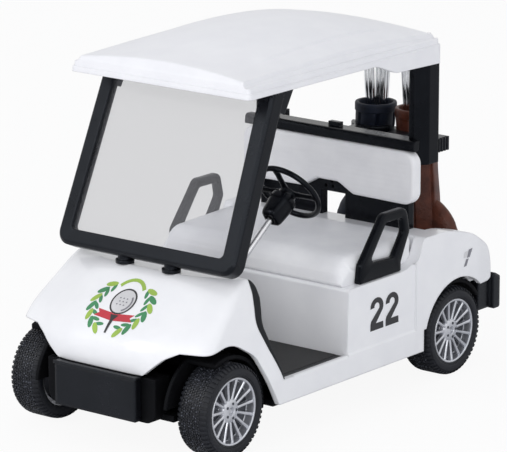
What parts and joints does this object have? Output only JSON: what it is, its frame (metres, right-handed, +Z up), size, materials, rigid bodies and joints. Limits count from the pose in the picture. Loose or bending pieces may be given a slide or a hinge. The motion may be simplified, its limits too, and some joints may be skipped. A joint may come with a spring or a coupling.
{
  "type": "toy golf cart, about 1:20",
  "caption": "Small toy golf cart with a roof, leaning screen, bench, steering wheel, bags of clubs at the back and wheels that roll on their axles.",
  "frame": {"origin": "on the ground under the middle of the overall box", "axes": "+Z up, the cart faces -Y, +X is the cart's own left side"},
  "size_m": [0.0582, 0.115, 0.0863],
  "materials": {
    "white_paint": "gloss",
    "white_roof": "gloss",
    "white_seat": "satin",
    "black_plastic": "satin",
    "grey_floor": "matte",
    "clear_screen": "clear",
    "brown_bag": "satin",
    "navy_bag": "satin",
    "bright_plate": "polished",
    "silver_rim": "metallic silver",
    "steel_rod": "bright drawn",
    "tyre_rubber": "matte"
  },
  "bodies": {
    "cart": {"body_casting": "white_paint", "chassis": "black_plastic", "front_bumper": "black_plastic", "rear_bumper": "black_plastic", "interior_tub": "grey_floor", "screen_frame": "black_plastic", "screen_glass": "clear_screen", "roof": "white_roof", "rear_post_left": "black_plastic", "rear_post_right": "black_plastic", "seat_back_frame": "black_plastic", "seat_back": "white_seat", "seat_cushion": "white_seat", "armrest_left": "black_plastic", "armrest_right": "black_plastic", "steering_wheel": "black_plastic", "steering_shroud": "black_plastic", "steering_rod": "bright_plate", "bag_tray": "black_plastic", "bag_brown": "brown_bag", "bag_navy": "navy_bag", "clubs_left": "bright_plate", "clubs_right": "bright_plate", "bag_strap": "black_plastic"},
    "front_axle": {"front_axle_rod": "steel_rod", "front_rim_left": "silver_rim", "front_tyre_left": "tyre_rubber", "front_rim_right": "silver_rim", "front_tyre_right": "tyre_rubber"},
    "rear_axle": {"rear_axle_rod": "steel_rod", "rear_rim_left": "silver_rim", "rear_tyre_left": "tyre_rubber", "rear_rim_right": "silver_rim", "rear_tyre_right": "tyre_rubber"}
  },
  "joints": [
    {"name": "front_axle_spin", "type": "hinge", "parent": "cart", "child": "front_axle", "pos_m": [0, -0.0434, 0.0105], "axis": [1, 0, 0], "continuous": true},
    {"name": "rear_axle_spin", "type": "hinge", "parent": "cart", "child": "rear_axle", "pos_m": [0, 0.0381, 0.0105], "axis": [1, 0, 0], "continuous": true}
  ]
}
